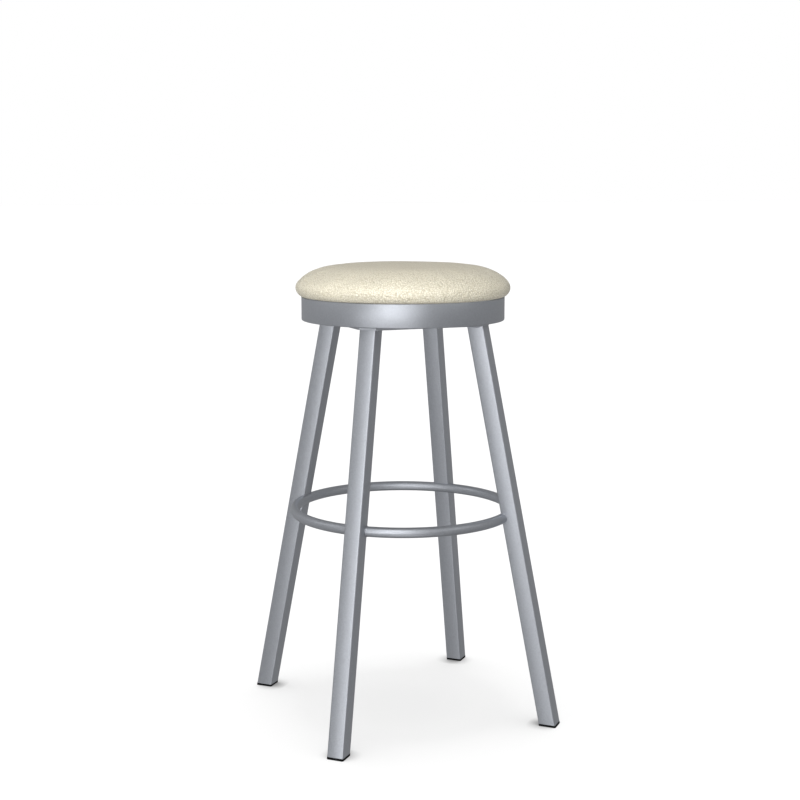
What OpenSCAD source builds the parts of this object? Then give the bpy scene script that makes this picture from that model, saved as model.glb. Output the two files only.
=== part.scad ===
// Backless swivel stool, spectator height: four splayed square-tube legs, a round
// foot ring let into the legs, and a round upholstered seat in a steel band that
// turns on a ball-bearing plate. Millimetres, +Z up, floor at Z = 0, the swivel
// axis is the Z axis and the legs stand on the diagonals of X and Y.

/* [Seat] */
// Height of the crown of the seat above the floor
seat_h = 864; // [800:1:900]
// Widest diameter of the upholstered cushion
seat_d = 405.4; // [402:0.2:410]
// Thickness of the whole cushion at its crown, board included
cushion_t = 63; // [58:1:70]
// Thickness of the upholstery skin
skin_t = 1.2; // [0.8:0.1:1.6]
// Thickness of the plywood seat board
board_t = 12; // [10:1:14]
// Diameter of the plywood seat board
board_d = 360; // [344:1:362]
// Staples around the hem under the board
staple_n = 28; // [16:4:36]

/* [Band and cross] */
// Outside diameter of the steel band under the cushion
band_d = 383.5; // [380:0.5:385]
// Height of the band
band_h = 43; // [36:0.5:46]
// Wall of the band
band_t = 3; // [2:0.5:4]
// Width of the rectangular tubes that cross the band
bar_w = 38; // [30:1:42]
// Height of those tubes
bar_h = 20; // [16:0.5:22]
// Wall of those tubes
bar_t = 1.5; // [1:0.25:2]

/* [Legs] */
// Width of the square tube
tube_w = 31.8; // [30:0.1:32]
// Wall of the square tube
tube_t = 1.5; // [1:0.25:2]
// Radius on the corners of the tube
tube_r = 2.6; // [2:0.1:3.5]
// Distance from the middle of the stool to the middle of a leg at the floor
foot_reach = 300; // [280:1:320]
// Distance from the middle of the stool to the middle of a leg at its top
top_reach = 150.2; // [147:0.2:152]
// Visible thickness of the black glide under a leg
glide_t = 4.1; // [3:0.1:6]
// Length of the glide's plug inside the tube
plug_h = 20; // [12:1:28]

/* [Foot ring] */
// Height of the middle of the foot ring above the floor
ring_z = 393; // [300:1:480]
// Outside diameter of the round tube of the foot ring
ring_tube_d = 19; // [16:0.5:20]
// Wall of that tube
ring_tube_t = 1.5; // [1:0.25:2.5]
// How far the middle of the tube lies inside the inner face of a leg
ring_bite = 1.9; // [0:0.1:3]

/* [Swivel] */
// Side of the square swivel plates
plate_w = 178; // [168:1:180]
// Sheet thickness of the swivel plates
plate_t = 3; // [2.5:0.1:3.5]
// Height of the assembled swivel
swivel_h = 24.5; // [22:0.5:25]
// Radius of the ball race
race_r = 48; // [44:1:50]
// Diameter of a bearing ball
ball_d = 8; // [7:0.5:8]
// Number of bearing balls
ball_n = 20; // [12:1:24]
// Side of the square top plate that joins the four legs
top_w = 259; // [250:1:262]
// Thickness of the top plate
top_t = 5; // [4:0.5:6]

/* [Hidden] */
$fn = 72;

silver = [0.62, 0.63, 0.66];
zinc = [0.74, 0.74, 0.70];
black = [0.05, 0.05, 0.05];
cream = [0.87, 0.83, 0.71];
nylon = [0.90, 0.89, 0.84];
ply = [0.80, 0.66, 0.47];

// Heights, from the crown of the seat down
cb_z = seat_h - cushion_t;      // underside of the cushion, top edge of the band
cross_z = cb_z - bar_h;         // underside of the cross
swivel_z = cross_z - swivel_h;  // underside of the swivel
plate_z = swivel_z - top_t;     // underside of the top plate, top of the legs
band_z = cb_z - band_h;         // bottom edge of the band
board_z = cb_z + skin_t + 0.05; // underside of the board, on the hem
mid_z = swivel_z + swivel_h / 2; // middle of the balls

// Legs: lean of the tube, and where its middle is at a height
lean = atan((foot_reach - top_reach) / plate_z);
function leg_x(z) = foot_reach - z * tan(lean);
ring_r = leg_x(ring_z) - tube_w / 2 / cos(lean) + ring_bite;
clip = top_reach + tube_w / 2 / cos(lean); // corners of the top plate, flush with the legs

// Fasteners
m8_r = 72;      // swivel screws, from the middle, on the diagonals
m6_xy = 76;     // seat screws, from the middle, along X and along Y

e = 0.01;

// Cushion outline: a uniform cubic B-spline on these control points (radius, height)
Rc = seat_d / 2;
k = cushion_t / 63;
ctrl = [[Rc - 38.7, 0], [Rc - 26.7, 0], [Rc - 14.7, 0], [Rc - 5.2, 3.4 * k], [Rc + 2.7, 18.3 * k],
        [Rc - 5.9, 35.6 * k], [Rc - 48.3, 56.5 * k], [Rc - 93, 60.6 * k], [55, 63 * k],
        [0, 63 * k], [-55, 63 * k]];
function bs(P, i, t) = (pow(1 - t, 3) * P[i] + (3 * pow(t, 3) - 6 * t * t + 4) * P[i + 1]
    + (-3 * pow(t, 3) + 3 * t * t + 3 * t + 1) * P[i + 2] + pow(t, 3) * P[i + 3]) / 6;
function bs_d(P, i, t) = (-3 * pow(1 - t, 2) * P[i] + (9 * t * t - 12 * t) * P[i + 1]
    + (-9 * t * t + 6 * t + 3) * P[i + 2] + 3 * t * t * P[i + 3]) / 6;
segs = len(ctrl) - 3;
per = 6;
// The outline moved inwards by d
function outline(d) = [for (i = [0 : segs - 1], j = [0 : per - 1])
    let (t = j / per, p = bs(ctrl, i, t), g = bs_d(ctrl, i, t), n = [g[1], -g[0]] / norm(g))
    [p[0] - d * n[0], cb_z + p[1] - d * n[1]]];
crown = cb_z + 63 * k;

// ---------- shapes used more than once ----------

// A flat rectangle with round corners, sides w and d, corner radius r, thickness h
module rounded_box(w, d, r, h) {
    translate([-w / 2 + r, -d / 2, 0]) cube([w - 2 * r, d, h]);
    translate([-w / 2, -d / 2 + r, 0]) cube([w, d - 2 * r, h]);
    for (x = [-1, 1], y = [-1, 1])
        translate([x * (w / 2 - r), y * (d / 2 - r), 0]) cylinder(r = r, h = h, $fn = 48);
}

module rounded_plate(w, r, h) {
    rounded_box(w, w, r, h);
}

// A square bar with round corners along the lean of a leg, cut level at z0 and z1
module leaning_bar(w, r, z0, z1) {
    intersection() {
        translate([foot_reach, 0, 0]) rotate([0, -lean, 0])
            translate([0, 0, -20]) rounded_plate(w, r, plate_z / cos(lean) + 40);
        translate([-50, -50, z0]) cube([foot_reach + 150, 100, z1 - z0]);
    }
}

// A slice of the same bar, square to the leg, s mm up the leg from the floor and h thick
module leaning_slice(w, r, s, h) {
    translate([foot_reach, 0, 0]) rotate([0, -lean, 0]) translate([0, 0, s]) rounded_plate(w, r, h);
}

// Puts a piece made on +X at the corner a quarter turns round from back right
module at_corner(a) {
    rotate([0, 0, 45 + 90 * a]) children();
}

module on_diagonals(r) {
    for (a = [0 : 3]) rotate([0, 0, 45 + 90 * a]) translate([r, 0, 0]) children();
}

module on_square(s) {
    for (x = [-1, 1], y = [-1, 1]) translate([x * s, y * s, 0]) children();
}

// ---------- frame ----------

// Square tube, notched on its inner face where the foot ring lies in it
module leg() {
    color(silver) difference() {
        leaning_bar(tube_w, tube_r, glide_t, plate_z);
        leaning_bar(tube_w - 2 * tube_t, tube_r - tube_t > 0.4 ? tube_r - tube_t : 0.4, 0, plate_z + 5);
        translate([0, 0, ring_z]) rotate_extrude($fn = 96)
            translate([ring_r, 0]) circle(d = ring_tube_d + 0.1, $fn = 48);
    }
}

// Moulded insert: a lip as wide as the tube, and a ribbed hollow plug inside it
module glide() {
    inner = tube_w - 2 * tube_t;
    color(black) difference() {
        union() {
            leaning_bar(tube_w + 0.4, tube_r, 0, glide_t);
            leaning_bar(inner - 2, 1.5, glide_t - e, glide_t + plug_h);
            intersection() {
                union() for (s = [6, 11, 16]) leaning_slice(inner - 0.2, 1.2, glide_t / cos(lean) + s - 1, 1.4);
                leaning_bar(inner - 0.1, 1.2, glide_t + 1, glide_t + plug_h - 0.5);
            }
        }
        leaning_bar(inner - 7, 1, glide_t + 1.5, glide_t + plug_h + 5);
    }
}

// Round tube rolled to a closed ring
module footrest_ring() {
    color(silver) translate([0, 0, ring_z]) rotate_extrude($fn = 96)
        translate([ring_r, 0]) difference() {
            circle(d = ring_tube_d, $fn = 48);
            circle(d = ring_tube_d - 2 * ring_tube_t, $fn = 48);
        }
}

// Square steel plate on the ends of the legs, its corners cut flush with them, and the swivel bolted to its middle
module top_plate() {
    color(silver) translate([0, 0, plate_z]) difference() {
        intersection() {
            translate([-top_w / 2, -top_w / 2, 0]) cube([top_w, top_w, top_t]);
            rotate([0, 0, 45]) translate([-clip, -clip, -1]) cube([2 * clip, 2 * clip, top_t + 2]);
        }
        translate([0, 0, -1]) cylinder(r = 30, h = top_t + 2);
        on_diagonals(m8_r) translate([0, 0, -1]) cylinder(r = 4.2, h = top_t + 2, $fn = 32);
    }
}

// ---------- swivel ----------

// Pressed sheet plate: a flat square flange, a raised middle and a ball race.
// It is drawn as the lower plate, standing on Z = 0; the upper one is its mirror.
module swivel_plate(hole) {
    rise = swivel_h / 2 - 2 - plate_t;
    half = swivel_h / 2;
    difference() {
        union() {
            difference() {
                rounded_plate(plate_w, 12, plate_t);
                translate([0, 0, -1]) cylinder(r = 60, h = plate_t + 2);
            }
            rotate_extrude($fn = 96) difference() {
                union() {
                    polygon([[hole, rise], [race_r + 7, rise], [60 - 0.2, 0], [63, 0],
                             [63, plate_t], [60 + 1.4, plate_t], [race_r + 8, rise + plate_t],
                             [hole, rise + plate_t]]);
                    intersection() {
                        translate([race_r, half]) circle(d = ball_d + 5, $fn = 48);
                        translate([race_r - 10, 0]) square([20, rise + plate_t]);
                    }
                }
                translate([race_r, half]) circle(d = ball_d + 0.2, $fn = 48);
            }
        }
        children();
    }
}

module swivel_base_plate() {
    color(zinc) translate([0, 0, swivel_z]) swivel_plate(6)
        on_diagonals(m8_r) translate([0, 0, -1]) cylinder(r = 4.2, h = plate_t + 2, $fn = 32);
}

// The holes on the axes let a driver through to the screws of the lower plate
module swivel_turn_plate() {
    color(zinc) translate([0, 0, cross_z]) mirror([0, 0, 1]) swivel_plate(7.6) {
        on_square(m6_xy) translate([0, 0, -1]) cylinder(r = 3.3, h = plate_t + 2, $fn = 32);
        for (a = [0 : 90 : 270]) rotate([0, 0, a]) translate([m8_r + 1, 0, -1])
            cylinder(r = 7, h = plate_t + 2, $fn = 48);
    }
}

// Button-head screws, heads on the lower swivel plate
module swivel_screws() {
    color(zinc) on_diagonals(m8_r) translate([0, 0, swivel_z + plate_t]) difference() {
        union() {
            rotate_extrude($fn = 48) polygon([[0, 0], [7, 0], [7, 0.8], [6.3, 2.4], [5, 3.6], [3.2, 4.3], [0, 4.4]]);
            translate([0, 0, -plate_t - top_t - 8]) cylinder(r = 4, h = plate_t + top_t + 8 + e, $fn = 32);
        }
        translate([0, 0, 2]) cylinder(r = 2.9, h = 4, $fn = 6);
    }
}

module swivel_flange_nuts() {
    color(zinc) on_diagonals(m8_r) translate([0, 0, plate_z - 8]) difference() {
        union() {
            cylinder(r = 7.5, h = 7.2, $fn = 6);
            translate([0, 0, 6.2]) cylinder(r1 = 7.6, r2 = 8.9, h = 0.9, $fn = 48);
            translate([0, 0, 7.1]) cylinder(r = 8.9, h = 0.9, $fn = 48);
        }
        translate([0, 0, -1]) cylinder(r = 4.05, h = 10, $fn = 32);
    }
}

king_z0 = swivel_z + swivel_h / 2 - 2 - plate_t; // underside of the raised middle, lower plate
king_z1 = swivel_z + swivel_h / 2 + 2 + plate_t; // top of the sunk middle, upper plate

// Shoulder bolt through the middle of both plates, head below
module king_bolt() {
    color(zinc) union() {
        translate([0, 0, king_z0 - 3.5]) cylinder(r = 12, h = 3.5, $fn = 64);
        translate([0, 0, king_z0 - e]) cylinder(r = 6, h = king_z1 + 0.1 - king_z0 + e, $fn = 48);
        translate([0, 0, king_z1]) cylinder(r = 5, h = 6, $fn = 48);
    }
}

module king_washer() {
    color(zinc) translate([0, 0, king_z1 + 0.1]) difference() {
        cylinder(r = 12, h = 1.4, $fn = 64);
        translate([0, 0, -1]) cylinder(r = 5.1, h = 4, $fn = 48);
    }
}

module king_nut() {
    color(zinc) translate([0, 0, king_z1 + 1.5]) difference() {
        intersection() {
            cylinder(r = 9.8, h = 4.4, $fn = 6);
            translate([0, 0, -2.2]) cylinder(r1 = 11.5, r2 = 8.2, h = 7.4, $fn = 48);
        }
        translate([0, 0, -1]) cylinder(r = 5.05, h = 8, $fn = 48);
    }
}

// Nylon ring that keeps the balls apart
module ball_cage() {
    color(nylon) translate([0, 0, mid_z - 1.2]) difference() {
        cylinder(r = race_r + 5.4, h = 2.4, $fn = 96);
        translate([0, 0, -1]) cylinder(r = race_r - 5.4, h = 5, $fn = 96);
        for (i = [0 : ball_n - 1]) rotate([0, 0, i * 360 / ball_n]) translate([race_r, 0, -1])
            cylinder(d = ball_d + 0.3, h = 5, $fn = 32);
    }
}

module bearing_balls() {
    color([0.8, 0.8, 0.82]) for (i = [0 : ball_n - 1]) rotate([0, 0, i * 360 / ball_n])
        translate([race_r, 0, mid_z]) sphere(d = ball_d, $fn = 32);
}

// Flanged nylon bush in the upper plate, running on the king bolt
module pivot_bush() {
    color(nylon) difference() {
        union() {
            translate([0, 0, mid_z + 1]) cylinder(r = 11, h = 1, $fn = 64);
            translate([0, 0, mid_z + 2 - e]) cylinder(r = 7.55, h = plate_t - 0.1, $fn = 48);
        }
        translate([0, 0, mid_z]) cylinder(r = 6.05, h = 10, $fn = 48);
    }
}

// ---------- seat ----------

// A bar along X, w wide and h high, its edges rounded by r, standing on Z = 0
module lying_bar(w, h, r) {
    translate([0, 0, h / 2]) rotate([90, 0, 90]) translate([0, 0, -band_d / 2]) rounded_box(w, h, r, band_d);
}

// Two rectangular tubes crossing on the diagonals, their ends on the inside of the band
module seat_cross() {
    color(silver) translate([0, 0, cross_z]) difference() {
        intersection() {
            for (a = [45, -45]) rotate([0, 0, a]) lying_bar(bar_w, bar_h, 2.5);
            translate([0, 0, -1]) cylinder(r = band_d / 2 - band_t, h = bar_h + 2, $fn = 96);
        }
        for (a = [45, -45]) rotate([0, 0, a]) translate([0, 0, bar_t]) lying_bar(bar_w - 2 * bar_t, bar_h - 2 * bar_t, 1);
        on_square(m6_xy) translate([0, 0, -1]) cylinder(r = 3.3, h = bar_h + 2, $fn = 32);
    }
}

// Flat bar rolled on edge to a ring, its lower edge rounded
module seat_band() {
    ro = band_d / 2;
    ri = ro - band_t;
    rr = 1.6;
    color(silver) rotate_extrude($fn = 96) union() {
        translate([ri, band_z + rr]) square([band_t, band_h - rr - 0.5]);
        translate([ri + 0.5, band_z]) square([band_t - 0.5 - rr, rr + e]);
        translate([ri, band_z + 0.5]) square([band_t - rr, rr]);
        intersection() {
            translate([ro - rr, band_z + rr]) circle(r = rr, $fn = 48);
            translate([ro - rr - e, band_z]) square([rr + 2 * e, rr + e]);
        }
        translate([ri + 0.5, cb_z - 0.5 - e]) square([band_t - 1, 0.5 + e]);
        translate([ri + 0.5, band_z + 0.5]) circle(r = 0.5, $fn = 24);
    }
}

// Pan-head screws up through the swivel and the cross into the T-nuts
module seat_screws() {
    color(zinc) on_square(m6_xy) translate([0, 0, cross_z - plate_t - 1.2]) difference() {
        union() {
            mirror([0, 0, 1]) rotate_extrude($fn = 48)
                polygon([[0, 0], [6, 0], [6, 1], [5.3, 2.6], [3.6, 3.6], [0, 3.9]]);
            translate([0, 0, -e]) cylinder(r = 2.95, h = board_z + board_t - 1 - (cross_z - plate_t - 1.2), $fn = 32);
        }
        for (a = [0, 90]) rotate([0, 0, a]) translate([-2.6, -0.55, -4.5]) cube([5.2, 1.1, 2.6]);
    }
}

module screw_washers() {
    color(zinc) on_square(m6_xy) translate([0, 0, cross_z - plate_t - 1.2]) difference() {
        cylinder(r = 6.2, h = 1.2, $fn = 48);
        translate([0, 0, -1]) cylinder(r = 3.2, h = 4, $fn = 32);
    }
}

// T-nuts pulled flush into the top of the board
module t_nuts() {
    color(zinc) on_square(m6_xy) difference() {
        union() {
            translate([0, 0, board_z + board_t - 1.2]) cylinder(r = 9.5, h = 1.2, $fn = 48);
            translate([0, 0, board_z + 2]) cylinder(r = 3.9, h = board_t - 3.2 + e, $fn = 32);
        }
        translate([0, 0, board_z]) cylinder(r = 3, h = board_t + 2, $fn = 32);
    }
}

module seat_board() {
    color(ply) translate([0, 0, board_z]) difference() {
        cylinder(d = board_d, h = board_t, $fn = 96);
        on_square(m6_xy) {
            translate([0, 0, -1]) cylinder(r = 3.95, h = board_t + 2, $fn = 32);
            translate([0, 0, board_t - 1.25]) cylinder(r = 9.55, h = 2, $fn = 48);
        }
    }
}

// Foam over the board and down past its edge
module foam_pad() {
    o = [for (p = outline(skin_t + 0.05)) if (p[0] > board_d / 2 + 0.3) p];
    t = [for (p = outline(skin_t + 0.05)) if (p[0] > 0 && p[0] <= board_d / 2 + 0.3 && p[1] > board_z + board_t + 5) p];
    color([0.93, 0.90, 0.78]) rotate_extrude($fn = 96) polygon(concat(
        [[0, board_z + board_t + 0.05], [board_d / 2 + 0.3, board_z + board_t + 0.05],
         [board_d / 2 + 0.3, o[0][1]]],
        o, t, [[0, crown - skin_t - 0.05]]));
}

// Skin pulled over the foam and turned under the board to a flat hem
module seat_cover() {
    a = outline(0);
    b = outline(skin_t);
    hem = board_d / 2 - 26;
    color(cream) rotate_extrude($fn = 96) polygon(concat(
        [[hem, cb_z]], a, [[0, crown], [0, crown - skin_t]],
        [for (i = [len(b) - 1 : -1 : 0]) b[i]], [[hem, cb_z + skin_t]]));
}

// Wire staples through the hem into the board, none over a tube of the cross
module staples() {
    r = board_d / 2 - 16;
    color([0.75, 0.75, 0.78]) for (i = [0 : staple_n - 1]) {
        a = (i + 0.5) * 360 / staple_n;
        off = abs((a % 90) - 45);
        if (off > 9) rotate([0, 0, a]) translate([r, 0, cb_z - 0.6]) {
            translate([-0.5, -5.5, 0]) cube([1, 11, 0.6]);
            for (s = [-1, 1]) translate([-0.4, s * 5.1 - 0.4, 0]) cube([0.8, 0.8, 8]);
        }
    }
}

at_corner(2) leg();  // front_left_leg
at_corner(3) leg();  // front_right_leg
at_corner(0) leg();  // back_right_leg
at_corner(1) leg();  // back_left_leg
at_corner(2) glide();  // front_left_glide
at_corner(3) glide();  // front_right_glide
at_corner(0) glide();  // back_right_glide
at_corner(1) glide();  // back_left_glide
footrest_ring();
top_plate();
swivel_base_plate();
swivel_screws();
swivel_flange_nuts();
king_bolt();
king_washer();
king_nut();
ball_cage();
bearing_balls();
swivel_turn_plate();
pivot_bush();
seat_cross();
seat_band();
seat_screws();
screw_washers();
t_nuts();
seat_board();
foam_pad();
seat_cover();
staples();
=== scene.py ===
import math

import bpy
import numpy as np
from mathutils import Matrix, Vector
from mathutils.kdtree import KDTree


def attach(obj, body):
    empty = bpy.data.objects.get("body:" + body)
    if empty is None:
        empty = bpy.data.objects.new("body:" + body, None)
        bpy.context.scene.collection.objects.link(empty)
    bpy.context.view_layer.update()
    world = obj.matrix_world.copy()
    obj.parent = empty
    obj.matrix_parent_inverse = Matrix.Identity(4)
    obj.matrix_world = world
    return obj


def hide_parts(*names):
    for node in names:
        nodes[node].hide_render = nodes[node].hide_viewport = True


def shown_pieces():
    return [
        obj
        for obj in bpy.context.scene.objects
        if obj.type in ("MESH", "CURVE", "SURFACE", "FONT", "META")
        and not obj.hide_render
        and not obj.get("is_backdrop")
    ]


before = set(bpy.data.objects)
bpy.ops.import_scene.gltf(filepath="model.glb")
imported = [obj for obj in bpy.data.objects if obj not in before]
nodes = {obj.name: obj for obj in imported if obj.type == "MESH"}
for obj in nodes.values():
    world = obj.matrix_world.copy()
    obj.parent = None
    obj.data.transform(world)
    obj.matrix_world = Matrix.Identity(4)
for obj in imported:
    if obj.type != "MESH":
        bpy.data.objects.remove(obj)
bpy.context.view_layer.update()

scene = bpy.context.scene

# ---------------------------------------------------------------- sizes, in metres, as in the CAD
SEAT_R, SEAT_TOP, SEAT_LOW = 0.2027, 0.864, 0.801   # widest radius, crown, underside
SKIN = 0.0012
HEM_R = 0.154
BOARD_R, BOARD_LOW, BOARD_TOP = 0.180, 0.80225, 0.81425
BAND_R, BAND_T, BAND_LOW, BAND_TOP = 0.19175, 0.003, 0.758, 0.801
FOOT_REACH, TOP_REACH, LEG_TOP, TUBE = 0.300, 0.1502, 0.7515, 0.0318
LEAN = math.atan((FOOT_REACH - TOP_REACH) / LEG_TOP)
RING_Z, RING_TUBE = 0.393, 0.0095
RING_R = FOOT_REACH - RING_Z * math.tan(LEAN) - TUBE / 2 / math.cos(LEAN) + 0.0019
BAR_LOW, BAR_W, BAR_H = 0.781, 0.038, 0.020
LEGS = {"back_right": 45, "back_left": 135, "front_left": 225, "front_right": 315}


# ---------------------------------------------------------------- camera
cam_data = bpy.data.cameras.new("camera")
cam = bpy.data.objects.new("camera", cam_data)
scene.collection.objects.link(cam)
scene.camera = cam
CAM_AZ = 0.39244088 - math.pi / 4
cam.location = (2.78257 * math.sin(CAM_AZ), -2.78257 * math.cos(CAM_AZ), 1.01472)
cam.rotation_euler = (math.pi / 2 - 0.14695159, 0.0, CAM_AZ + 0.00203284)
cam_data.sensor_fit = "HORIZONTAL"
cam_data.sensor_width = 36.0
cam_data.lens = 36.0 * 1473.57244 / 800.0
cam_data.clip_start, cam_data.clip_end = 0.05, 200.0

# Horizontal directions from the stool: towards the camera, and to the camera's right
TO_CAM = Vector((math.sin(CAM_AZ), -math.cos(CAM_AZ), 0.0))
TO_RIGHT = Vector((math.cos(CAM_AZ), math.sin(CAM_AZ), 0.0))


def direction(azimuth, elevation):
    """A direction from the stool: azimuth in degrees from the camera's side, positive to its right."""
    a, e = math.radians(azimuth), math.radians(elevation)
    flat = TO_CAM * math.cos(a) + TO_RIGHT * math.sin(a)
    return flat * math.cos(e) + Vector((0, 0, math.sin(e)))


# ---------------------------------------------------------------- node helpers
class Mat:
    """A material with a Principled shader and short calls for the nodes in front of it."""

    def __init__(self, name):
        self.m = bpy.data.materials.new(name)
        self.m.use_nodes = True
        self.t = self.m.node_tree
        self.t.nodes.clear()
        self.out = self.t.nodes.new("ShaderNodeOutputMaterial")
        self.p = self.t.nodes.new("ShaderNodeBsdfPrincipled")
        self.t.links.new(self.p.outputs[0], self.out.inputs[0])
        self.at = self.t.nodes.new("ShaderNodeTexCoord").outputs["Object"]

    def put(self, socket, value):
        if isinstance(value, bpy.types.NodeSocket):
            self.t.links.new(value, socket)
        elif value is not None:
            socket.default_value = value

    def set(self, **values):
        for k, v in values.items():
            self.put(self.p.inputs[k.replace("_", " ")], v)

    def math(self, op, a, b=None, c=None, clamp=False):
        n = self.t.nodes.new("ShaderNodeMath")
        n.operation, n.use_clamp = op, clamp
        for s, v in zip(n.inputs, (a, b, c)):
            self.put(s, v)
        return n.outputs[0]

    def vec(self, op, a, b=None, scale=None):
        n = self.t.nodes.new("ShaderNodeVectorMath")
        n.operation = op
        self.put(n.inputs[0], a)
        self.put(n.inputs[1], b)
        if scale is not None:
            self.put(n.inputs["Scale"], scale)
        return n.outputs["Value"] if op in ("DOT_PRODUCT", "LENGTH") else n.outputs["Vector"]

    def noise(self, scale, detail=2.0, rough=0.5, at=None, colour=False, distortion=0.0):
        n = self.t.nodes.new("ShaderNodeTexNoise")
        self.put(n.inputs["Vector"], at or self.at)
        n.inputs["Scale"].default_value = scale
        n.inputs["Detail"].default_value = detail
        n.inputs["Roughness"].default_value = rough
        n.inputs["Distortion"].default_value = distortion
        return n.outputs["Color" if colour else "Fac"]

    def cells(self, scale, feature="F1", at=None, randomness=1.0, smooth=None):
        n = self.t.nodes.new("ShaderNodeTexVoronoi")
        n.feature = feature
        self.put(n.inputs["Vector"], at or self.at)
        n.inputs["Scale"].default_value = scale
        n.inputs["Randomness"].default_value = randomness
        if smooth is not None:
            n.inputs["Smoothness"].default_value = smooth
        return n

    def spread(self, value, a, b, c=0.0, d=1.0, smooth=False):
        """value from a..b to c..d."""
        n = self.t.nodes.new("ShaderNodeMapRange")
        n.interpolation_type = "SMOOTHSTEP" if smooth else "LINEAR"
        for s, v in zip(n.inputs, (value, a, b, c, d)):
            self.put(s, v)
        return n.outputs[0]

    def mix(self, f, a, b, blend="MIX"):
        n = self.t.nodes.new("ShaderNodeMix")
        n.data_type, n.blend_type = "RGBA", blend
        self.put(n.inputs["Factor"], f)
        colour_in = [s for s in n.inputs if s.type == "RGBA"]
        for s, v in zip(colour_in, (a, b)):
            self.put(s, v if isinstance(v, bpy.types.NodeSocket) else (*v, 1.0))
        return next(s for s in n.outputs if s.type == "RGBA")

    def bump(self, height, distance, strength=1.0, under=None):
        n = self.t.nodes.new("ShaderNodeBump")
        self.put(n.inputs["Height"], height)
        n.inputs["Distance"].default_value = distance
        n.inputs["Strength"].default_value = strength
        if under is not None:
            self.put(n.inputs["Normal"], under)
        return n.outputs[0]


def grey(v):
    return (v, v, v)


# ---------------------------------------------------------------- materials
def silver(name, crown=None):
    """Satin silver powder coat: fine flake, slight orange peel. crown is [(direction, offset, curvature)]: how the
    rolled steel under the coat bows out across a face."""
    m = Mat(name)
    under = None
    if crown:
        total = None
        for d, offset, c in crown:
            u = m.math("SUBTRACT", m.vec("DOT_PRODUCT", m.at, d), offset)
            h = m.math("MULTIPLY", m.math("MULTIPLY", u, u), -c)
            total = h if total is None else m.math("ADD", total, h)
        under = m.bump(total, 1.0)
    flake = m.cells(2600.0).outputs["Color"]
    flake = m.vec("DOT_PRODUCT", flake, (0.33, 0.34, 0.33))
    cloud = m.noise(9.0, 3.0, 0.55)
    fine = m.noise(330.0, 3.0, 0.6)
    tone = m.math("ADD", m.math("MULTIPLY", flake, 0.35), m.math("MULTIPLY", fine, 0.65))
    base = m.mix(m.spread(tone, 0.3, 0.7, 0.0, 1.0), (0.307, 0.320, 0.347), (0.385, 0.402, 0.435))
    base = m.mix(m.spread(cloud, 0.35, 0.65, 0.0, 0.10), base, (0.305, 0.318, 0.344))
    rough = m.math("ADD", m.spread(fine, 0.3, 0.7, 0.43, 0.475), m.spread(cloud, 0.35, 0.65, -0.01, 0.012))
    peel = m.bump(m.noise(620.0, 2.0, 0.5), 0.000030, under=under)
    grain = m.bump(m.noise(2400.0, 1.0, 0.5), 0.000006, under=peel)
    m.set(Base_Color=base, Metallic=0.82, Roughness=rough, Normal=grain)
    return m.m


def leg_crown(angle, c=5.4):
    a = math.radians(angle)
    u = (math.cos(a) * math.cos(LEAN), math.sin(a) * math.cos(LEAN), math.sin(LEAN))
    v = (-math.sin(a), math.cos(a), 0.0)
    return [(u, FOOT_REACH * math.cos(LEAN), c), (v, 0.0, c)]


def glide_plastic():
    m = Mat("glide_black")
    fine = m.noise(900.0, 3.0, 0.6)
    dust = m.noise(60.0, 4.0, 0.6)
    base = m.mix(m.spread(fine, 0.35, 0.65), (0.0015, 0.0015, 0.0018), (0.004, 0.004, 0.0043))
    base = m.mix(m.spread(dust, 0.55, 0.75, 0.0, 0.15), base, (0.012, 0.012, 0.011))
    m.set(Base_Color=base, Roughness=m.spread(fine, 0.3, 0.7, 0.62, 0.75), Normal=m.bump(fine, 0.00006))
    m.set(Specular_IOR_Level=0.08)
    return m.m


def zinc():
    """Zinc-plated pressed steel: cloudy spangle with a faint warm and blue cast."""
    m = Mat("zinc_plate")
    spangle = m.cells(160.0, at=m.vec("ADD", m.at, m.vec("SCALE", m.noise(90.0, 2.0, 0.5, colour=True), None, 0.004)))
    tone = m.vec("DOT_PRODUCT", spangle.outputs["Color"], (0.4, 0.3, 0.3))
    cast = m.noise(28.0, 3.0, 0.6)
    base = m.mix(m.spread(tone, 0.1, 0.9), (0.60, 0.60, 0.58), (0.70, 0.70, 0.67))
    base = m.mix(m.spread(cast, 0.5, 0.72, 0.0, 0.35), base, (0.66, 0.62, 0.50))
    base = m.mix(m.spread(cast, 0.5, 0.3, 0.0, 0.25), base, (0.56, 0.60, 0.66))
    fine = m.noise(1500.0, 2.0, 0.5)
    rough = m.math("ADD", m.spread(tone, 0.1, 0.9, 0.27, 0.37), m.spread(fine, 0.3, 0.7, -0.02, 0.03))
    m.set(Base_Color=base, Metallic=1.0, Roughness=rough, Normal=m.bump(fine, 0.00001))
    return m.m


def ball_steel():
    m = Mat("bearing_steel")
    film = m.noise(400.0, 2.0, 0.5)
    base = m.mix(m.spread(film, 0.35, 0.65), (0.58, 0.58, 0.59), (0.66, 0.66, 0.66))
    m.set(Base_Color=base, Metallic=1.0, Roughness=m.spread(film, 0.3, 0.7, 0.08, 0.16), Normal=m.bump(film, 0.000002))
    return m.m


def nylon():
    m = Mat("nylon")
    cloud = m.noise(120.0, 3.0, 0.55)
    base = m.mix(m.spread(cloud, 0.35, 0.65), (0.70, 0.68, 0.60), (0.78, 0.76, 0.68))
    m.set(Base_Color=base, Roughness=m.spread(cloud, 0.3, 0.7, 0.38, 0.5), Normal=m.bump(m.noise(1500.0), 0.00001))
    return m.m


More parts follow.
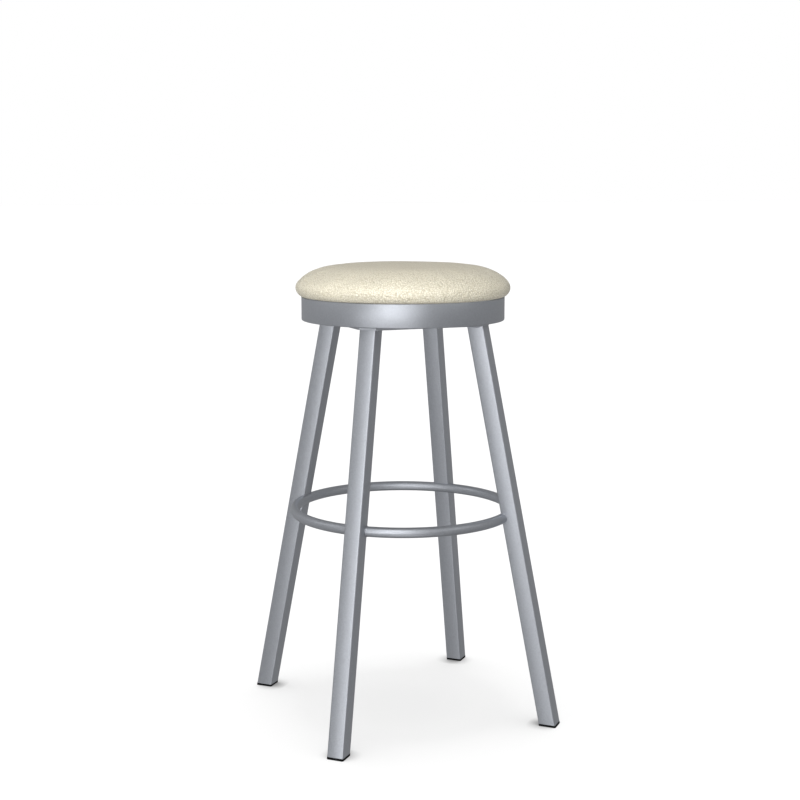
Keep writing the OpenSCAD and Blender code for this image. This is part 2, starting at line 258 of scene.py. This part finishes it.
def plywood():
    """Birch ply: long grain on the faces, and plies of two directions along the edge."""
    m = Mat("plywood")
    sep = m.t.nodes.new("ShaderNodeSeparateXYZ")
    m.t.links.new(m.at, sep.inputs[0])
    z = sep.outputs[2]
    stretch = m.vec("MULTIPLY", m.at, (1.0, 14.0, 14.0))
    grain = m.noise(26.0, 6.0, 0.62, at=stretch, distortion=0.6)
    pores = m.noise(240.0, 2.0, 0.5, at=m.vec("MULTIPLY", m.at, (0.12, 1.0, 1.0)))
    face = m.mix(m.spread(grain, 0.35, 0.68), (0.60, 0.42, 0.24), (0.74, 0.57, 0.37))
    face = m.mix(m.spread(pores, 0.60, 0.72, 0.0, 0.5), face, (0.40, 0.26, 0.14))
    ply = m.math("FRACT", m.math("DIVIDE", m.math("SUBTRACT", z, BOARD_LOW), 0.0048))
    dark_ply = m.math("GREATER_THAN", ply, 0.5)
    edge = m.mix(dark_ply, (0.68, 0.50, 0.31), (0.47, 0.31, 0.17))
    geo = m.t.nodes.new("ShaderNodeNewGeometry")
    up = m.math("ABSOLUTE", m.vec("DOT_PRODUCT", geo.outputs["True Normal"], (0.0, 0.0, 1.0)))
    base = m.mix(m.spread(up, 0.4, 0.6), edge, face)
    m.set(Base_Color=base, Roughness=m.spread(grain, 0.3, 0.7, 0.62, 0.78), Normal=m.bump(grain, 0.00012, under=m.bump(pores, 0.0001)))
    return m.m


def foam():
    m = Mat("foam")
    pore = m.cells(620.0, "F1").outputs["Distance"]
    cloud = m.noise(40.0, 3.0, 0.6)
    base = m.mix(m.spread(pore, 0.15, 0.6), (0.80, 0.72, 0.48), (0.55, 0.47, 0.27))
    base = m.mix(m.spread(cloud, 0.4, 0.7, 0.0, 0.3), base, (0.84, 0.78, 0.58))
    m.set(Base_Color=base, Roughness=m.spread(pore, 0.1, 0.7, 0.85, 0.98), Normal=m.bump(m.math("MULTIPLY", pore, -1.0), 0.0008))
    return m.m


def leather():
    """Cream faux leather: small domed pebbles, satin on their crowns and matt between them, with painted shade
    darkening the crevices between them. They are lower on top of the seat, where the cover is drawn flat over the foam;
    there the crevices carry less painted shade, and the pebble tops are painted darker as shade on the crown of the
    seat."""
    m = Mat("cream_leather")
    warp = m.vec("SUBTRACT", m.noise(190.0, 2.0, 0.5, colour=True), (0.5, 0.5, 0.5))
    at = m.vec("ADD", m.at, m.vec("SCALE", warp, None, 0.0022))
    edge = m.cells(260.0, "DISTANCE_TO_EDGE", at=at, randomness=0.95).outputs["Distance"]
    pebble = m.spread(edge, 0.0, 0.25, 0.0, 1.0, smooth=True)
    off = m.cells(260.0, "F1", at=at, randomness=0.95).outputs["Distance"]
    small = m.noise(1500.0, 3.0, 0.6)
    cloud = m.noise(14.0, 3.0, 0.55)
    drawn = m.spread(m.vec("DOT_PRODUCT", m.at, (0.0, 0.0, 1.0)), SEAT_TOP - 0.026, SEAT_TOP - 0.004)
    dome = m.spread(drawn, 0.0, 1.0, -1.6, -0.95)
    height = m.math("ADD", m.math("MULTIPLY", m.math("MULTIPLY", off, off), dome), m.math("MULTIPLY", small, 0.026))
    top = m.mix(m.spread(cloud, 0.35, 0.65), (0.86, 0.81, 0.665), (0.89, 0.84, 0.695))
    # Painted shade: the pebble tops darken towards the crown of the seat, where less light falls
    top = m.mix(m.math("MULTIPLY", m.math("MULTIPLY", drawn, drawn), 0.44), top, (0.62, 0.565, 0.42))
    # Painted shade in the crevices between the pebbles, lighter towards the crown of the seat
    crevice_shade = m.mix(drawn, (0.62, 0.565, 0.42), (0.675, 0.615, 0.48))
    base = m.mix(m.spread(pebble, 0.0, 0.75, 0.0, 1.0), crevice_shade, top)
    rough = m.math("ADD", m.spread(pebble, 0.0, 1.0, 0.5, 0.3), m.spread(small, 0.3, 0.7, -0.03, 0.04))
    m.set(Base_Color=base, Roughness=rough, Normal=m.bump(height, 0.001))
    m.set(Specular_IOR_Level=0.9)
    return m.m


def dress(name, material):
    o = nodes[name]
    o.data.materials.clear()
    o.data.materials.append(material)


plain_silver = silver("silver_coat")
for side, angle in LEGS.items():
    dress(side + "_leg", silver("silver_coat_" + side, leg_crown(angle)))
band_mid = (BAND_LOW + BAND_TOP) / 2
dress("seat_band", silver("silver_coat_band", [((0.0, 0.0, 1.0), band_mid, 4.6)]))
for n in ("footrest_ring", "top_plate", "seat_cross"):
    dress(n, plain_silver)
black = glide_plastic()
for side in LEGS:
    dress(side + "_glide", black)
zinc_plate = zinc()
for n in ("swivel_base_plate", "swivel_screws", "swivel_flange_nuts", "king_bolt", "king_washer", "king_nut",
          "swivel_turn_plate", "seat_screws", "screw_washers", "t_nuts", "staples"):
    dress(n, zinc_plate)
dress("bearing_balls", ball_steel())
natural = nylon()
for n in ("ball_cage", "pivot_bush"):
    dress(n, natural)
dress("seat_board", plywood())
foam_mat = foam()
cream = leather()


# ---------------------------------------------------------------- mesh helpers
def piece(name, points, faces, material, body, smooth=True):
    me = bpy.data.meshes.new(name)
    me.from_pydata([tuple(p) for p in points], [], faces)
    me.validate()
    me.materials.append(material)
    me.polygons.foreach_set("use_smooth", [smooth] * len(me.polygons))
    o = bpy.data.objects.new(name, me)
    scene.collection.objects.link(o)
    if body:
        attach(o, body)
    return o


def spline(P, steps):
    """A uniform cubic B-spline through control points P, with its tangents."""
    P = np.array(P, float)
    out, tan = [], []
    for i in range(len(P) - 3):
        for j in range(steps):
            t = j / steps
            b = np.array([(1 - t) ** 3, 3 * t**3 - 6 * t * t + 4, -3 * t**3 + 3 * t * t + 3 * t + 1, t**3]) / 6
            g = np.array([-3 * (1 - t) ** 2, 9 * t * t - 12 * t, -9 * t * t + 6 * t + 3, 3 * t * t]) / 6
            out.append(b @ P[i : i + 4])
            tan.append(g @ P[i : i + 4])
    return np.array(out), np.array(tan)


R_MM = SEAT_R * 1000
CONTROL = [(R_MM - 38.7, 0), (R_MM - 26.7, 0), (R_MM - 14.7, 0), (R_MM - 5.2, 3.4), (R_MM + 2.7, 18.3), (R_MM - 5.9, 35.6),
           (R_MM - 48.3, 56.5), (R_MM - 93.0, 60.6), (55, 63), (0, 63), (-55, 63)]


def outline(inset, steps):
    """Radius and height of the cushion from its underside to its crown, moved inwards by inset."""
    p, t = spline(CONTROL, steps)
    n = np.stack([t[:, 1], -t[:, 0]], 1)
    n /= np.linalg.norm(n, axis=1)[:, None]
    p = p / 1000 - n * inset
    p[:, 1] += SEAT_LOW
    return p


def turned(profile, segments, closed_top=True, close=False):
    """Points and faces of a profile of (radius, height) turned round the Z axis. The profile ends at the axis if closed_top;
    close joins its last point to its first."""
    points, faces = [], []
    a = np.arange(segments) * 2 * math.pi / segments
    ca, sa = np.cos(a), np.sin(a)
    rings = profile[:-1] if closed_top else profile
    for r, z in rings:
        points.append(np.stack([r * ca, r * sa, np.full(segments, z)], 1))
    points = np.concatenate(points)
    count = len(rings)
    for i in range(count - 1 + (1 if close else 0)):
        k = (i + 1) % count
        for j in range(segments):
            n = (j + 1) % segments
            faces.append((i * segments + j, i * segments + n, k * segments + n, k * segments + j))
    if closed_top:
        points = np.concatenate([points, [[0, 0, profile[-1][1]]]])
        last, top = (count - 1) * segments, len(points) - 1
        for j in range(segments):
            faces.append((last + j, last + (j + 1) % segments, top))
    return points, faces


# ---------------------------------------------------------------- the cushion
def swollen():
    """How the stuffed cushion departs from a true turned shape: a closed form of it is blown up as cloth, pinned underneath,
    and what it moves beyond the average of its ring is kept. Returns (points, outward movement)."""
    shape = outline(0.0020, 6)
    shape = np.concatenate([[[0.0, SEAT_LOW + 0.002]], [[0.150, SEAT_LOW + 0.002]], shape, [[0.0, SEAT_TOP - 0.002]]])
    pts, faces = turned(shape[1:], 96)
    base = len(pts)
    pts = np.concatenate([pts, [[0, 0, SEAT_LOW + 0.002]]])
    faces += [((j + 1) % 96, j, base) for j in range(96)]
    me = bpy.data.meshes.new("swell")
    me.from_pydata([tuple(p) for p in pts], [], faces)
    o = bpy.data.objects.new("swell", me)
    scene.collection.objects.link(o)
    bpy.context.view_layer.objects.active = o
    o.select_set(True)
    rm = o.modifiers.new("remesh", "REMESH")
    rm.mode, rm.voxel_size = "VOXEL", 0.006
    bpy.ops.object.modifier_apply(modifier=rm.name)
    me = o.data
    start = np.zeros(len(me.vertices) * 3)
    me.vertices.foreach_get("co", start)
    start = start.reshape(-1, 3)
    pins = o.vertex_groups.new(name="pins")
    pins.add([i for i, p in enumerate(start) if p[2] < SEAT_LOW + 0.0045], 1.0, "REPLACE")
    cloth = o.modifiers.new("cloth", "CLOTH")
    s = cloth.settings
    s.quality = 6
    s.mass = 0.35
    s.tension_stiffness = s.compression_stiffness = 18
    s.shear_stiffness = 8
    s.bending_stiffness = 0.6
    s.use_pressure = True
    s.uniform_pressure_force = 4.0
    s.vertex_group_mass = "pins"
    s.effector_weights.gravity = 0.0
    cloth.collision_settings.use_collision = False
    cloth.point_cache.frame_start, cloth.point_cache.frame_end = 1, 20
    for f in range(1, 21):
        scene.frame_set(f)
    dg = bpy.context.evaluated_depsgraph_get()
    seen = o.evaluated_get(dg)
    end = np.zeros(len(start) * 3)
    seen.data.vertices.foreach_get("co", end)
    end = end.reshape(-1, 3)
    move = end - start
    long = np.linalg.norm(move, axis=1)
    cap = 0.012
    move *= np.minimum(1.0, cap / np.maximum(long, 1e-9))[:, None]
    bpy.data.objects.remove(o)
    scene.frame_set(1)
    radius = np.hypot(start[:, 0], start[:, 1])
    out = np.stack([start[:, 0], start[:, 1], (start[:, 2] - 0.80) * 2.5], 1)
    out /= np.maximum(np.linalg.norm(out, axis=1), 1e-9)[:, None]
    push = (move * out).sum(1)
    # Less the average over the ring of points at the same radius and height
    key = np.round(np.stack([radius / 0.008, start[:, 2] / 0.008], 1)).astype(int)
    _, which = np.unique(key, axis=0, return_inverse=True)
    which = which.ravel()
    mean = np.bincount(which, push) / np.maximum(np.bincount(which), 1)
    return start, push - mean[which], float(long.max()), float(long.mean())


def gentle(x, y, z, seed):
    """A smooth, repeatable unevenness between -1 and 1: a few long waves."""
    rng = np.random.RandomState(seed)
    v = np.zeros_like(x)
    for _ in range(9):
        k = rng.normal(size=3) * (18 + 22 * rng.rand())
        v += np.sin(x * k[0] + y * k[1] + z * k[2] + rng.rand() * 6.283)
    return v / 9


def make_cushion():
    prof = outline(0.0, 9)
    hem = [[r, SEAT_LOW] for r in np.linspace(HEM_R, prof[0][0] - 0.0022, 9)]
    prof = np.concatenate([hem, prof, [[0.0, SEAT_TOP]]])
    n = 224
    pts, faces = turned(prof, n)
    x, y, z = pts.T
    r = np.hypot(x, y)
    ang = np.arctan2(y, x)
    above = np.clip((z - (SEAT_LOW + 0.004)) / 0.016, 0, 1)   # nothing moves where the cover meets the band
    uneven = gentle(x, y, z * 2, 7) * 0.0007
    at, push, most, mean = swollen()
    print(f"cushion: swelled by {most * 1000:.1f} mm at most, {mean * 1000:.1f} mm on average")
    tree = KDTree(len(at))
    for i, p in enumerate(at):
        tree.insert(p, i)
    tree.balance()
    push = np.clip(push, -0.0016, 0.0016)
    got = np.zeros(len(pts))
    for i, p in enumerate(pts):
        near = tree.find_n(p, 12)
        w = np.array([1 / (d + 0.002) for _, _, d in near])
        got[i] = (w * push[[k for _, k, _ in near]]).sum() / w.sum()
    uneven = uneven * 0.6 + got * 0.6
    out = np.stack([x, y, (z - 0.80) * 2.5], 1)
    out /= np.maximum(np.linalg.norm(out, axis=1), 1e-9)[:, None]
    pts = pts + out * (uneven * above)[:, None]
    # The skin is gathered in small pleats where it is turned under the board
    under = (r < 0.1865) & (z < SEAT_LOW + 0.0008)
    rng = np.random.RandomState(3)
    fold = np.zeros(len(pts))
    for k in range(46):
        c = (k + 0.35 * rng.rand()) * 2 * math.pi / 46
        d = (ang - c + math.pi) % (2 * math.pi) - math.pi
        fold += (0.6 + 0.4 * rng.rand()) * np.exp(-((d / 0.022) ** 2))
    depth = np.clip((0.1865 - r) / 0.018, 0, 1)
    pts[:, 2] -= np.where(under, fold * depth * 0.0006, 0)
    o = piece("cushion_cover", pts, faces, cream, None)
    solid = o.modifiers.new("skin", "SOLIDIFY")
    solid.thickness, solid.offset = SKIN, -1.0
    solid.use_even_offset = False
    bpy.context.view_layer.objects.active = o
    bpy.ops.object.modifier_apply(modifier=solid.name)
    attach(o, "seat")
    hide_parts("seat_cover")
    return o


def make_foam():
    prof = [p for p in outline(SKIN + 0.0004, 7) if p[0] > BOARD_R + 0.0003 or p[1] > BOARD_TOP + 0.004]
    low = [[0.0005, BOARD_TOP + 0.0001], [BOARD_R - 0.004, BOARD_TOP + 0.0001], [BOARD_R + 0.0002, BOARD_TOP + 0.0001],
           [BOARD_R + 0.0006, BOARD_TOP - 0.001], [BOARD_R + 0.0006, prof[0][1] + 0.0004]]
    prof = np.array(low + [list(p) for p in prof] + [[0.0, SEAT_TOP - SKIN - 0.0004]])
    pts, faces = turned(prof, 160)
    base = len(pts)
    pts = np.concatenate([pts, [[0, 0, BOARD_TOP + 0.0001]]])
    faces += [((j + 1) % 160, j, base) for j in range(160)]
    pts[:, 2] += np.where(pts[:, 2] > BOARD_TOP + 0.01, -0.0003 + 0.0003 * gentle(pts[:, 0] * 4, pts[:, 1] * 4, pts[:, 2] * 4, 5), 0)
    o = piece("foam_core", pts, faces, foam_mat, "seat")
    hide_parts("foam_pad")
    return o


make_cushion()
make_foam()


# ---------------------------------------------------------------- weld seams under the coat
def seam(name, path, radius, body, closed=False, seed=1):
    """A weld bead along path: a tube whose surface steps in overlapping ripples."""
    path = np.array(path, float)
    if closed:
        path = np.concatenate([path, path[:1]])
    step = np.linalg.norm(np.diff(path, axis=0), axis=1)
    along = np.concatenate([[0], np.cumsum(step)])
    count = max(6, int(along[-1] / 0.0006))
    s = np.linspace(0, along[-1], count, endpoint=not closed)
    p = np.stack([np.interp(s, along, path[:, k]) for k in range(3)], 1)
    nxt, prv = (np.roll(p, -1, 0), np.roll(p, 1, 0)) if closed else (np.vstack([p[1:], p[-1:]]), np.vstack([p[:1], p[:-1]]))
    t = nxt - prv
    t /= np.maximum(np.linalg.norm(t, axis=1), 1e-12)[:, None]
    rng = np.random.RandomState(seed)
    wave = 1 + 0.10 * np.abs(np.sin(s / 0.0019 * math.pi + rng.rand() * 3)) + 0.05 * np.sin(s / 0.011 + rng.rand() * 6)
    if not closed:
        end = np.clip(np.minimum(s, along[-1] - s) / (radius * 1.2), 0, 1)
        wave = wave * np.sqrt(np.clip(1 - (1 - end) ** 2, 0.02, 1))
    ref = np.array([0.0, 0.0, 1.0]) if abs(t[:, 2]).mean() < 0.8 else np.array([1.0, 0.0, 0.0])
    a = np.cross(t, ref)
    a /= np.maximum(np.linalg.norm(a, axis=1), 1e-12)[:, None]
    b = np.cross(t, a)
    m = 10
    pts, faces = [], []
    for i in range(count):
        for j in range(m):
            w = 2 * math.pi * j / m
            pts.append(p[i] + (a[i] * math.cos(w) + b[i] * math.sin(w)) * radius * wave[i])
    for i in range(count if closed else count - 1):
        k = (i + 1) % count
        for j in range(m):
            n = (j + 1) % m
            faces.append((i * m + j, i * m + n, k * m + n, k * m + j))
    if not closed:
        faces.append(tuple(range(m - 1, -1, -1)))
        faces.append(tuple((count - 1) * m + j for j in range(m)))
    return piece(name, pts, faces, plain_silver, body)


def spun(points, angle):
    a = math.radians(angle)
    c, s = math.cos(a), math.sin(a)
    return [(x * c - y * s, x * s + y * c, z) for x, y, z in points]


def inner_face(z):
    return FOOT_REACH - z * math.tan(LEAN) - TUBE / 2 / math.cos(LEAN)


for side, angle in LEGS.items():
    # under the top plate, along three sides of the tube; on the fourth, the outer one, the weld is ground flush
    reach, half_r, half_t, c = TOP_REACH, TUBE / 2 / math.cos(LEAN), TUBE / 2, 0.0026
    ring = [(reach + half_r - 0.006, half_t, LEG_TOP - 0.0003)]
    for cx, cy, a0 in ((-1, 1, 90), (-1, -1, 180)):
        for k in range(7):
            w = math.radians(a0 + 15 * k)
            ring.append((reach + cx * (half_r - c) + c * math.cos(w), cy * (half_t - c) + c * math.sin(w), LEG_TOP - 0.0003))
    ring.append((reach + half_r - 0.006, -half_t, LEG_TOP - 0.0003))
    seam(side + "_top_weld", spun(ring, angle), 0.0021, "base", seed=angle)
    # on each side of the tube, round the foot ring where it leaves its notch
    for sign, hand in ((1, "a"), (-1, "b")):
        t = sign * (TUBE / 2 + 0.0001)
        arc = []
        for k in range(-60, 61):
            w = math.radians(k * 2.0)
            rho = RING_R + (RING_TUBE + 0.0002) * math.cos(w)
            x, z = math.sqrt(rho * rho - t * t), RING_Z + (RING_TUBE + 0.0002) * math.sin(w)
            if x > inner_face(z) + 0.0002:
                arc.append((x, t, z))
        seam(f"{side}_ring_weld_{hand}", spun(arc, angle), 0.0006, "base", seed=angle + 7 + sign)
    # round the end of a tube of the cross, down one side, along the bottom and up the other, where it meets the band
    h, c = BAR_W / 2, 0.0025
    end = [(-h, BAR_LOW + BAR_H - 0.002), (-h, BAR_LOW + c + 0.004)]
    end += [(-h + c - c * math.cos(math.radians(w)), BAR_LOW + c - c * math.sin(math.radians(w))) for w in range(0, 91, 15)]
    end += [(y, BAR_LOW) for y in np.linspace(-h + c + 0.002, h - c - 0.002, 20)]
    end += [(h - c + c * math.sin(math.radians(w)), BAR_LOW + c - c * math.cos(math.radians(w))) for w in range(0, 91, 15)]
    end += [(h, BAR_LOW + c + 0.004), (h, BAR_LOW + BAR_H - 0.002)]
    end = [(math.sqrt((BAND_R - BAND_T - 0.0003) ** 2 - y * y), y, z) for y, z in end]
    seam(side + "_bar_weld", spun(end, angle), 0.0017, "seat", seed=angle + 40)


# ---------------------------------------------------------------- stage and light
scene.view_settings.view_transform = "Standard"
scene.view_settings.look = "None"
scene.view_settings.exposure = 0.0
scene.view_settings.gamma = 1.0

# The floor glows nearly white by itself, and two overhead lights of its own, a broad one and a narrow one, bring it up to
# white where the stool doesn't stand in their way
fm = bpy.data.materials.new("floor")
fm.use_nodes = True
ft = fm.node_tree
ft.nodes.clear()
f_out = ft.nodes.new("ShaderNodeOutputMaterial")
f_diff = ft.nodes.new("ShaderNodeBsdfDiffuse")
FLOOR_SHARE = 0.02
f_diff.inputs["Color"].default_value = (FLOOR_SHARE, FLOOR_SHARE, FLOOR_SHARE, 1)
f_glow = ft.nodes.new("ShaderNodeEmission")
f_glow.inputs["Strength"].default_value = 0.577
f_sum = ft.nodes.new("ShaderNodeAddShader")
f_clear = ft.nodes.new("ShaderNodeBsdfTransparent")
f_mix = ft.nodes.new("ShaderNodeMixShader")
f_geo = ft.nodes.new("ShaderNodeNewGeometry")
ft.links.new(f_diff.outputs[0], f_sum.inputs[0])
ft.links.new(f_glow.outputs[0], f_sum.inputs[1])
# Painted contact shadow: an ambient-occlusion mask fades the floor's glow to black in a narrow rim where the glides
# touch the floor, on the inner side that each leg leans over
f_tilt = ft.nodes.new("ShaderNodeVectorMath")
f_tilt.operation = "NORMALIZE"
f_lean = ft.nodes.new("ShaderNodeVectorMath")
f_lean.operation = "MULTIPLY_ADD"
f_lean.inputs[1].default_value = (3.3, 3.3, 0.0)
f_lean.inputs[2].default_value = (0.0, 0.0, 1.0)
ft.links.new(f_geo.outputs["Position"], f_lean.inputs[0])
ft.links.new(f_lean.outputs[0], f_tilt.inputs[0])
f_near = ft.nodes.new("ShaderNodeAmbientOcclusion")
f_near.inputs["Distance"].default_value = 0.025
f_near.samples = 24
ft.links.new(f_tilt.outputs[0], f_near.inputs["Normal"])
f_shadow_mask = ft.nodes.new("ShaderNodeMapRange")
f_shadow_mask.inputs["To Min"].default_value = 0.25
ft.links.new(f_near.outputs["AO"], f_shadow_mask.inputs["Value"])
# The black that the painted contact shadow fades to
f_shadow_black = ft.nodes.new("ShaderNodeEmission")
f_shadow_black.inputs["Strength"].default_value = 0.0
f_contact_shadow = ft.nodes.new("ShaderNodeMixShader")
ft.links.new(f_shadow_mask.outputs["Result"], f_contact_shadow.inputs[0])
ft.links.new(f_shadow_black.outputs[0], f_contact_shadow.inputs[1])
ft.links.new(f_sum.outputs[0], f_contact_shadow.inputs[2])
ft.links.new(f_geo.outputs["Backfacing"], f_mix.inputs[0])
ft.links.new(f_contact_shadow.outputs[0], f_mix.inputs[1])
ft.links.new(f_clear.outputs[0], f_mix.inputs[2])
ft.links.new(f_mix.outputs[0], f_out.inputs[0])
fme = bpy.data.meshes.new("floor")
fme.from_pydata([(-60, -60, -0.0002), (60, -60, -0.0002), (60, 60, -0.0002), (-60, 60, -0.0002)], [], [(0, 1, 2, 3)])
fme.materials.append(fm)
floor = bpy.data.objects.new("floor", fme)
scene.collection.objects.link(floor)
floor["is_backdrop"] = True
floor.visible_diffuse = False
floor.visible_glossy = False
floor.visible_shadow = False
only_floor = bpy.data.collections.new("lit_from_above")
only_floor.objects.link(floor)


def overhead(name, width, share):
    d = bpy.data.lights.new(name, "SUN")
    d.angle = math.radians(width)
    d.energy = math.pi * share / FLOOR_SHARE
    o = bpy.data.objects.new(name, d)
    scene.collection.objects.link(o)
    o.location = (0, 0, 3)
    o.light_linking.receiver_collection = only_floor


overhead("overhead_broad", 70, 0.439)
overhead("overhead_narrow", 15, 0.065)

world = bpy.data.worlds.new("studio")
scene.world = world
world.use_nodes = True
wt = world.node_tree
wt.nodes.clear()
w_out = wt.nodes.new("ShaderNodeOutputWorld")
w_geo = wt.nodes.new("ShaderNodeTexCoord")


def w_math(op, a, b):
    n = wt.nodes.new("ShaderNodeMath")
    n.operation = op
    for s, v in zip(n.inputs, (a, b)):
        if isinstance(v, bpy.types.NodeSocket):
            wt.links.new(v, s)
        else:
            s.default_value = v
    return n.outputs[0]


def w_dot(d):
    n = wt.nodes.new("ShaderNodeVectorMath")
    n.operation = "DOT_PRODUCT"
    wt.links.new(w_geo.outputs["Generated"], n.inputs[0])
    n.inputs[1].default_value = d
    return n.outputs["Value"]


# The studio round the stool: how bright it is all over, and what each side adds
LEVEL, BACK, RIGHT, LEFT, TOP = 0.14, 0.2, 0.27, 0.34, 0.053
glow = LEVEL
for towards, power, share in ((-TO_CAM, 1, BACK), (TO_RIGHT, 1, RIGHT), (-TO_RIGHT, 1, LEFT), ((0, 0, 1), 1.4, TOP)):
    side = w_math("MAXIMUM", w_dot(towards), 0.0)
    if power != 1:
        side = w_math("POWER", side, power)
    glow = w_math("ADD", w_math("MULTIPLY", side, share), glow)
w_studio = wt.nodes.new("ShaderNodeBackground")
wt.links.new(glow, w_studio.inputs["Strength"])
w_studio.inputs["Color"].default_value = (1, 1, 1, 1)
w_white = wt.nodes.new("ShaderNodeBackground")
w_white.inputs["Color"].default_value = (1, 1, 1, 1)
w_white.inputs["Strength"].default_value = 1.0
w_path = wt.nodes.new("ShaderNodeLightPath")
w_mix = wt.nodes.new("ShaderNodeMixShader")
wt.links.new(w_path.outputs["Is Camera Ray"], w_mix.inputs[0])
wt.links.new(w_studio.outputs[0], w_mix.inputs[1])
wt.links.new(w_white.outputs[0], w_mix.inputs[2])
wt.links.new(w_mix.outputs[0], w_out.inputs[0])

lit = bpy.data.collections.new("lit_by_softboxes")
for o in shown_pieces():
    lit.objects.link(o)


def softbox(name, azimuth, elevation, distance, size, power, shadow=True, target=(0, 0, 0.62)):
    d = bpy.data.lights.new(name, "AREA")
    d.shape, d.size, d.energy = "DISK", size, power
    d.use_shadow = shadow
    o = bpy.data.objects.new(name, d)
    scene.collection.objects.link(o)
    v = direction(azimuth, elevation)
    o.location = Vector(target) + v * distance
    o.rotation_euler = v.to_track_quat("Z", "Y").to_euler()
    o.light_linking.receiver_collection = lit
    return o


# The photo shows hardly a shadow of one part on another, so the lights on the camera's side cast none
softbox("key", -13.0, 6.0, 3.4, 1.1, 19.9, shadow=False)
softbox("broad_front", -5.0, 12.0, 3.4, 3.0, 40.1, shadow=False)
softbox("upper_front", -13.0, 40.0, 3.4, 1.0, 21.7, shadow=False)
softbox("top_front", -13.0, 55.0, 3.4, 1.4, 23.7, shadow=False)
softbox("left_front", -38.0, 0.0, 3.4, 0.6, 4.9, shadow=False)
softbox("low_left", -30.0, -16.0, 3.4, 0.8, 7.4, shadow=False)
softbox("floor_bounce", 0.0, -25.0, 3.4, 1.4, 8.3, shadow=False)
softbox("low_bounce", 0.0, -55.0, 3.4, 2.4, 14.3)
softbox("right_high", 60.0, 30.0, 3.4, 1.4, 8.6)
softbox("left_high", -90.0, 30.0, 3.4, 1.4, 8.9)
